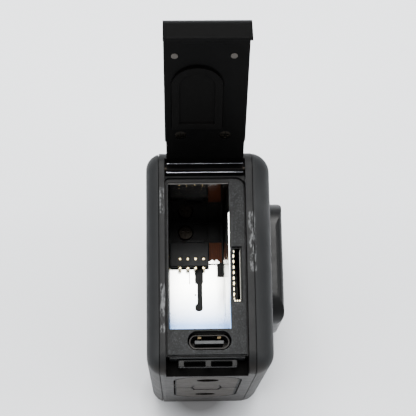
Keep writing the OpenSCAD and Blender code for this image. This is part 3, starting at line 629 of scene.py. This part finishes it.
def front_cover():
    """Front shell with openings for the lens, the display, sound and a light, and four grooves."""
    low, high = shell_box[0]
    piece = cover_skin("front_cover", "front_shell", high.y, low.y, 4.6 * MM)
    hollow(piece, low.y + WALL, high.y + PAST)
    holes = [(circle(LENS_HOLE_R, 96), middle_of("lens_barrel", "x", "z")),
             (round_outline(12 * MM, 12.5 * MM, 2 * MM), middle_of("front_glass", "x", "z"))]
    holes += [(circle(0.45 * MM, 20), ((-19 + 1.7 * column) * MM, (8 + 1.8 * row) * MM))
              for row in range(4) for column in range(2)]
    holes.append((circle(LIGHT_HOLE_R, 28), (21.6 * MM, 66 * MM)))
    cut = bmesh.new()
    for outline, middle in holes:
        prism(cut, outline, middle, low.y - PAST, low.y + 5 * MM)
    for k in range(4):
        groove = round_outline(0.6 * MM, 20 * MM, 0.55 * MM, 6)
        prism(cut, groove, ((-18.9 + 2.6 * k) * MM, 44 * MM), low.y - PAST, low.y + GROOVE_DEPTH)
    carve(piece, cut)


def rear_cover():
    """Rear shell with openings for the display and a light."""
    low, high = shell_box[1]
    piece = cover_skin("rear_cover", "rear_shell", low.y, high.y, 3.8 * MM)
    hollow(piece, low.y - PAST, high.y - 2.0 * MM)
    cut = bmesh.new()
    prism(cut, round_outline(19.5 * MM, 30 * MM, 2 * MM), (0, mid_z), low.y - PAST, high.y + PAST)
    prism(cut, circle(LIGHT_HOLE_R, 28), (21.8 * MM, 66.5 * MM), low.y - PAST, high.y + PAST)
    carve(piece, cut)


front_cover()
rear_cover()


# ---------- details in the bay ----------

def round_prism(bm, outline, centre, z0, z1, soft):
    """Upright block with a rounded upper rim."""
    turns = (0.0, 0.4, 0.8, 1.2, math.pi / 2)
    rings = [(z0, 0.0)] + [(z1 - soft + soft * math.sin(t), soft * (1 - math.cos(t))) for t in turns]
    reach_u, reach_v = (max(abs(point[k]) for point in outline) for k in (0, 1))
    loft(bm, [[(centre[0] + u * (1 - inset / reach_u), centre[1] + v * (1 - inset / reach_v), z)
               for u, v in outline] for z, inset in rings])


def dome(bm, centre, profile, count, matrix=None):
    """Solid of revolution about a line along Z; profile is (radius, height) pairs from the rim inwards."""
    before = len(bm.verts)
    loft(bm, [[(centre[0] + u, centre[1] + v, centre[2] + height) for u, v in circle(radius, count)]
              for radius, height in profile])
    if matrix:
        bm.verts.ensure_lookup_table()
        bmesh.ops.transform(bm, matrix=matrix, verts=bm.verts[before:])


def contact_carrier():
    """Moulded carrier with a pocket for each contact tip."""
    low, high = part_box("contact_block")
    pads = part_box("battery_contacts")
    step = 0.6 * MM
    main = ((low.x + high.x - step) / 2, (low.y + high.y) / 2)
    bm = bmesh.new()
    half = ((high.x - step - low.x) / 2, (high.y - low.y) / 2)
    round_prism(bm, round_outline(*half, 0.3 * MM, 5), main, low.z + 0.3 * MM, high.z, 0.18 * MM)
    piece = piece_from(bm, "contact_carrier", "housing", "block")
    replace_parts(piece, "contact_block")
    cut = bmesh.new()
    for y in contact_rows():
        for x in (pads[0].x + TIP_R, pads[1].x - TIP_R):
            prism(cut, circle(0.53 * MM, 24), (x, y), high.z - 1.5 * MM, high.z + PAST, "Z")
    carve(piece, cut)
    bm = bmesh.new()
    tab = round_outline(step / 2 - 0.01 * MM, 2.25 * MM, 0.15 * MM, 4)
    round_prism(bm, tab, (high.x - step / 2, 2.65 * MM), low.z, high.z, 0.12 * MM)
    piece = piece_from(bm, "carrier_tab", "housing", "block")
    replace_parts(piece, "contact_block")


TIP_R = 0.42 * MM  # from a contact's middle to the side of the contacts' box


def contact_rows():
    """Middle of each contact across the bay."""
    low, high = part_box("battery_contacts")
    first, last = low.y + TIP_R, high.y - TIP_R
    return [first + (last - first) * k / 3 for k in range(4)]


def contact_tips():
    """Two rows of round-headed contacts."""
    low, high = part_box("battery_contacts")
    radius, crown = 0.48 * MM, 0.10 * MM
    top = high.z - low.z - crown
    turns = (0, 0.3, 0.6, 0.9, 1.2, 1.45)
    profile = [(radius, 0.0)] + [(radius * math.cos(t), top + crown * math.sin(t)) for t in turns]
    bm = bmesh.new()
    for y in contact_rows():
        for x in (low.x + TIP_R, high.x - TIP_R):
            dome(bm, (x, y, low.z), profile, 20)
    piece = piece_from(bm, "contact_tips", "housing", "gold")
    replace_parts(piece, "battery_contacts")


def boss_screw():
    """Pan head with a cross recess on the bay's back wall."""
    low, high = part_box("bay_boss")
    centre = (*middle_of("bay_boss", "x", "y"), low.z)
    radius, height = (high.x - low.x) / 2, high.z - low.z
    bm = bmesh.new()
    dome(bm, centre, head_profile(radius, height), 48)
    piece = piece_from(bm, "boss_screw", "housing", "dark_steel")
    cut = bmesh.new()
    cross(cut, centre, radius * 0.55, radius * 0.14, height * 0.5, height + PAST)
    carve(piece, cut)
    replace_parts(piece, "bay_boss")


def head_profile(radius, height):
    """Section of a pan head, from its rim to its middle."""
    soft = height * 0.45
    turns = (0.0, 0.3, 0.6, 0.9, 1.2, math.pi / 2)
    rim = [(radius - soft * (1 - math.cos(t)), height - soft + soft * math.sin(t) * 0.8) for t in turns]
    return [(radius, 0.0)] + rim + [(radius * 0.3, height - soft * 0.05), (radius * 0.05, height)]


def cross(bm, centre, reach, half, z0, z1):
    """Cutter for a cross recess."""
    x, y, z = centre
    for a, b in ((reach, half), (half, reach)):
        prism(bm, round_outline(a, b, half * 0.9, 4), (x, y), z + z0, z + z1, "Z")


def card_slot():
    """Guide of the memory card: a dark sheet tube with a bright rim on one side and springs on the other."""
    low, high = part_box("card_reader")
    mid = middle_of("card_reader", "x", "y")
    half = ((high.x - low.x) / 2, (high.y - low.y) / 2)
    sheet = 0.25 * MM
    bm = bmesh.new()
    prism(bm, round_outline(*half, 0.18 * MM, 4), mid, low.z, high.z, "Z")
    piece = piece_from(bm, "card_guide", "housing", "guide")
    cut = bmesh.new()
    mouth = round_outline(half[0] - sheet, half[1] - sheet, 0.12 * MM, 4)
    prism(cut, mouth, mid, low.z + 0.4 * MM, high.z + PAST, "Z")
    carve(piece, cut)
    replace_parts(piece, "card_reader")
    bm = bmesh.new()
    rail = [(v, u) for u, v in round_outline(0.06 * MM, half[0] - 0.7 * MM, 0.05 * MM, 3)]
    prism(bm, rail, (mid[0], low.y + 0.34 * MM), high.z - 0.9 * MM, high.z - 0.1 * MM, "Z")
    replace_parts(piece_from(bm, "card_rail", "housing", "rail"), "card_reader")
    bm = bmesh.new()
    count = 10
    for k in range(count):
        x = low.x + 0.9 * MM + (high.x - low.x - 1.8 * MM) * k / (count - 1)
        size = (0.19 + 0.09 * math.sin(2.4 * k)) * MM
        prism(bm, round_outline(size, 0.10 * MM, 0.08 * MM, 3), (x, high.y - (0.36 + 0.05 * (k % 2)) * MM),
              high.z - 2.2 * MM, high.z - (0.1 + 0.35 * (k * 2 % 3)) * MM, "Z")
    leaf = round_outline(0.14 * MM, 0.14 * MM, 0.08 * MM, 3)
    for k in range(3):
        place = (low.x + 0.42 * MM, low.y + (0.55 + 0.5 * k) * MM)
        prism(bm, leaf, place, high.z - 1.5 * MM, high.z - 0.15 * MM, "Z")
    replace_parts(piece_from(bm, "card_springs", "housing", "spring"), "card_reader")


# Bay liner, in millimetres: outline of its back sheet (x, y), and that sheet's openings
# (middle, half size, corner radius).
LINER_BACK = [(-15.5, -4.65), (3.2, -4.65), (3.2, -2.95), (6.4, -2.95), (6.4, -0.9), (5.3, -0.9), (5.3, 9.05),
              (-13.3, 9.05), (-13.3, 8.35), (-15.5, 8.35)]
LINER_OPENINGS = (((3.9, 1.65), (2.4, 1.05), 0.5), ((-1.0, 1.5), (3.7, 0.64), 0.4),
                  ((-4.5, 1.75), (0.95, 0.95), 0.7), ((3.9, 4.1), (2.4, 0.07), 0.06))


def liner():
    """Stamped steel liner: slotted back sheet, and a flange up the side wall with pressed windows."""
    low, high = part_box("bay_liner")
    back_z = low.z
    bm = bmesh.new()
    prism(bm, [(x * MM, y * MM) for x, y in LINER_BACK], (0, 0), back_z, back_z + 0.3 * MM, "Z")
    piece = piece_from(bm, "liner", "housing", "liner")
    side = bmesh.new()
    flange = [(-15.5 * MM, back_z), (6.4 * MM, back_z), (11.0 * MM, high.z - 8 * MM), (11.0 * MM, high.z),
              (-15.5 * MM, high.z)]
    prism(side, flange, (0, 0), low.y, low.y + 0.2 * MM, "Y")
    carve(piece, side, "UNION")
    cut = bmesh.new()
    through = (back_z - PAST, back_z + PAST, "Z")
    for centre, half, radius in LINER_OPENINGS:
        shape = round_outline(half[0] * MM, half[1] * MM, radius * MM, 6)
        prism(cut, shape, (centre[0] * MM, centre[1] * MM), *through)
    prism(cut, circle(0.22 * MM, 16), (-1.3 * MM, 2.6 * MM), *through)
    through = (low.y - PAST, low.y + PAST)
    prism(cut, round_outline(4.8 * MM, 1.9 * MM, 0.8 * MM, 6), (-3.6 * MM, back_z + 11 * MM), *through)
    prism(cut, round_outline(0.5 * MM, 9 * MM, 0.4 * MM, 6), (-13.8 * MM, back_z + 17 * MM), *through)
    carve(piece, cut)
    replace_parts(piece, "bay_liner")


def film_crimp():
    """Bright crimped end of the film, with two bosses."""
    low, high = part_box("flex_strip")
    z = high.z + 0.01 * MM
    bm = bmesh.new()
    bar = round_outline(0.34 * MM, 1.35 * MM, 0.2 * MM, 5)
    prism(bm, bar, (low.x + 0.05 * MM, -2.25 * MM), z, z + 0.12 * MM, "Z")
    for y in (-1.75, -2.85):
        prism(bm, circle(0.42 * MM, 24), (low.x + 0.28 * MM, y * MM), z, z + 0.16 * MM, "Z")
    piece_from(bm, "film_crimp", "housing", "liner")


def keeper_strip():
    """Ledge with two round-cornered windows for the latch's fingers."""
    low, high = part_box("latch_keeper")
    x0, x1 = low.x + 0.72 * MM, high.x - 0.14 * MM
    thick = 1.8 * MM
    mid = ((x0 + x1) / 2, (low.y + high.y) / 2)
    bm = bmesh.new()
    ledge = round_outline((x1 - x0) / 2, (high.y - low.y) / 2, 0.3 * MM, 5)
    round_prism(bm, ledge, mid, high.z - thick, high.z, 0.12 * MM)
    piece = piece_from(bm, "keeper_strip", "housing", "keeper")
    cut = bmesh.new()
    for y0, y1 in ((1.1, 5.9), (-4.8, -0.05)):
        shape = round_outline(0.64 * MM, (y1 - y0) / 2 * MM, 0.3 * MM, 5)
        prism(cut, shape, (-23.12 * MM, (y0 + y1) / 2 * MM), high.z - 3 * MM, high.z + PAST, "Z")
    carve(piece, cut)
    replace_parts(piece, "latch_keeper")


def pocket_shade_sheet():
    """Dark sheets that stand in for the shade in the pocket that the door's lip enters, and the apron between
    it and the panel.
    """
    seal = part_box("door_seal")
    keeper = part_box("latch_keeper")
    y0, y1 = seal[0].y - 0.04 * MM, seal[1].y + 0.04 * MM
    x0, x1 = -25.36 * MM, seal[0].x - 0.01 * MM
    z0, z1 = keeper[0].z, seal[1].z - 0.4 * MM
    thin = 0.05 * MM
    # dark sheets that stand in for the shade in the pocket
    bm = bmesh.new()
    wall_top = z1 + 1 * MM
    for side0, side1, top in ((y0, y1, z0 + thin), (y0, y0 + thin, wall_top), (y1 - thin, y1, wall_top)):
        prism(bm, [(x0, side0), (x1, side0), (x1, side1), (x0, side1)], (0, 0), z0, top, "Z")
    piece_from(bm, "pocket_shade_sheet", "housing", "shade_sheet")
    bm = bmesh.new()
    edge = 0.12 * MM
    top, foot = keeper[1].z + 0.05 * MM, keeper[1].x + 0.15 * MM
    section = [(x1, z0), (x1, top), (foot + edge, top), (foot, top - edge), (foot, z0)]
    prism(bm, section[::-1], (0, 0), y0 + 0.8 * MM, y1 - 0.8 * MM, "Y")
    piece_from(bm, "apron", "housing", "apron")


liner()
film_crimp()
keeper_strip()
pocket_shade_sheet()
contact_carrier()
contact_tips()
boss_screw()
card_slot()


# ---------- lens ----------

def optics():
    """Convex front element, and the pane of the lens cover's window in front of it."""
    low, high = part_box("front_element")
    middle = middle_of("front_element", "x", "z")
    radius, height = (high.x - low.x) / 2, high.y - low.y - 0.6 * MM
    edge = 1.0 * MM
    crown = height - edge
    sphere = (radius ** 2 + crown ** 2) / (2 * crown)
    widest = math.asin(radius / sphere)
    profile = [(radius, 0.0)]
    profile += [(sphere * math.sin(t), edge + sphere * (math.cos(t) - math.cos(widest)))
                for t in (widest * (1 - 0.99 * k / 10) for k in range(11))]
    outward = Matrix.Rotation(math.pi / 2, 4, "X")
    bm = bmesh.new()
    dome(bm, (0, 0, 0), profile, 72, Matrix.Translation((middle[0], high.y, middle[1])) @ outward)
    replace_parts(piece_from(bm, "front_lens", "housing", "lens_glass"), "front_element")
    low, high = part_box("cover_glass")
    gap, soft = 0.4 * MM, 0.1 * MM
    radius, height = (high.x - low.x) / 2, high.y - low.y - gap
    bm = bmesh.new()
    profile = [(radius, 0.0), (radius, height - soft), (radius - soft, height)]
    dome(bm, (0, 0, 0), profile, 72, Matrix.Translation((middle[0], high.y - gap, middle[1])) @ outward)
    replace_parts(piece_from(bm, "window_pane", "cover", "window"), "cover_glass")


optics()


# ---------- details on the door ----------

JOINTS = {joint["name"]: joint for joint in frame["record"]["behaviour"]["joints"]}
hinge = Vector(JOINTS["door_hinge"]["pos_m"])
open_angle = -math.radians(JOINTS["door_hinge"]["range_deg"][0])
OPENED = Matrix.Translation(hinge) @ Matrix.Rotation(open_angle, 4, "Y") @ Matrix.Translation(-hinge)


def rod(bm, start, end, radius):
    """Round rod with domed ends."""
    start, end = Vector(start), Vector(end)
    axis = (end - start).normalized()
    side = axis.orthogonal().normalized()
    other = axis.cross(side)
    turns = (0.25, 0.6, 1.0, math.pi / 2)
    stations = [(start + axis * radius * (1 - math.cos(t)), radius * math.sin(t)) for t in turns]
    stations += [(end - axis * radius * (1 - math.cos(t)), radius * math.sin(t)) for t in turns[::-1]]
    ring = [side * u + other * v for u, v in circle(1.0, 16)]
    loft(bm, [[centre + point * r for point in ring] for centre, r in stations])


def hinge_beads():
    """Two slim polished ridges along the hinge barrel."""
    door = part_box("door_panel")
    y0, y1 = door[0].y + 0.16 * MM, door[1].y - 0.16 * MM
    bm = bmesh.new()
    for dx, dz in ((1.16, 0.55), (-0.98, 0.82)):
        x, z = hinge.x + dx * MM, hinge.z + dz * MM
        rod(bm, (x, y0, z), (x, y1, z), 0.085 * MM)
    piece_from(bm, "hinge_beads", "door", "bead")


def door_screw_heads():
    """Two pan heads with cross recesses on the door's inner face; placed as if closed, then turned open."""
    mid_y = middle_of("door_screws", "y", "z")[0]
    bm, cut = bmesh.new(), bmesh.new()
    height = 0.75 * MM
    centres = [Vector((9.1 * MM, mid_y + s * 4.85 * MM, hinge.z + 0.57 * MM)) for s in (-1, 1)]
    flip = Matrix.Rotation(math.pi, 4, "X")
    for centre in centres:
        place = OPENED @ Matrix.Translation(centre) @ flip
        dome(bm, (0, 0, 0), head_profile(1.45 * MM, height), 36, place)
        before = len(cut.verts)
        cross(cut, (0, 0, 0), 0.9 * MM, 0.2 * MM, height * 0.4, height + PAST)
        cut.verts.ensure_lookup_table()
        bmesh.ops.transform(cut, matrix=place, verts=cut.verts[before:])
    piece = piece_from(bm, "door_screw_heads", "door", "screw")
    carve(piece, cut)
    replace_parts(piece, "door_screws")


hinge_beads()
door_screw_heads()


# ---------- studio ----------

LIT_POINT = (0, 0, 0.05)
CAMERA_PLACE = (-0.0563, 0.0072, 0.3438)
CAMERA_FORWARD = (0.2416, -0.0252, -0.9701)
CAMERA_UP = (0.9703, -0.0095, 0.2419)


def studio_floor():
    """Pale floor, with painted shade that darkens it towards the bottom of the picture and a painted contact
    shadow where the object's foot meets it.
    """
    bm = bmesh.new()
    bmesh.ops.create_grid(bm, x_segments=8, y_segments=8, size=3.0)
    mesh = bpy.data.meshes.new("studio_floor")
    bm.to_mesh(mesh)
    bm.free()
    floor = add_object("studio_floor", mesh)
    floor.location.z = cad_box[0].z - 0.02 * MM
    f = Finish("studio_floor")
    cloud = f.noise(0.25, 2, 0.5)
    pale = f.mix(cloud, (0.75, 0.765, 0.79), (0.77, 0.785, 0.81))
    # painted shade: the floor darker towards the bottom of the picture
    painted_falloff = f.spread(f.axis("X"), -0.02, 0.03, 0.5, 0.0)
    ground_with_falloff = f.mix(painted_falloff, pale, (0.50, 0.505, 0.52))
    # painted contact shadow: a dark ellipse round the object's foot
    along = f.math("DIVIDE", f.math("ADD", f.axis("X"), 24 * MM), 9.5 * MM)
    across = f.math("DIVIDE", f.math("SUBTRACT", f.axis("Y"), 1.5 * MM), 14 * MM)
    squares = [f.math("MULTIPLY", part, part) for part in (along, across)]
    reach = f.math("SQRT", f.math("ADD", *squares))
    contact = f.spread(reach, 0.35, 1.2, 0.88, 0.0)
    f.set(colour=f.mix(contact, ground_with_falloff, (0.05, 0.047, 0.045)), rough=0.75, specular=0.25)
    floor.data.materials.append(f.material)


def area_light(name, where, size, power, colour=(1, 1, 1)):
    """Rectangular softbox that points at the middle of the object."""
    data = bpy.data.lights.new(name, "AREA")
    data.shape = "RECTANGLE"
    data.size, data.size_y = size
    data.energy = power
    data.color = colour
    light = add_object(name, data)
    light.location = where
    light.rotation_euler = (Vector(LIT_POINT) - Vector(where)).to_track_quat("-Z", "Y").to_euler()


def studio_light():
    """Bluish sky, a large key light above and to the +X side, and two fills."""
    world = bpy.data.worlds.new("studio")
    world.use_nodes = True
    background = world.node_tree.nodes["Background"]
    background.inputs["Color"].default_value = (0.93, 0.96, 1.0, 1)
    background.inputs["Strength"].default_value = 0.75
    bpy.context.scene.world = world
    area_light("key_light", (0.44, 0.05, 0.92), (0.55, 0.9), 27.0, (1.0, 0.995, 0.98))
    area_light("side_light", (-0.25, 0.75, 0.75), (0.6, 0.5), 8.0)
    area_light("fill_light", (-0.2, -0.75, 0.75), (0.6, 0.5), 8.0)


def photo_camera():
    """The camera stands 0.27 m above the door's end and looks down past the bottom face."""
    data = bpy.data.cameras.new("photo_camera")
    data.sensor_width = 36
    data.lens = 108.2
    data.clip_start = 0.01
    camera = add_object("photo_camera", data)
    forward = Vector(CAMERA_FORWARD).normalized()
    right = forward.cross(Vector(CAMERA_UP)).normalized()
    turn = Matrix((right, right.cross(forward), -forward)).transposed()
    camera.matrix_world = Matrix.Translation(CAMERA_PLACE) @ turn.to_4x4()
    bpy.context.scene.camera = camera


studio_floor()
studio_light()
photo_camera()
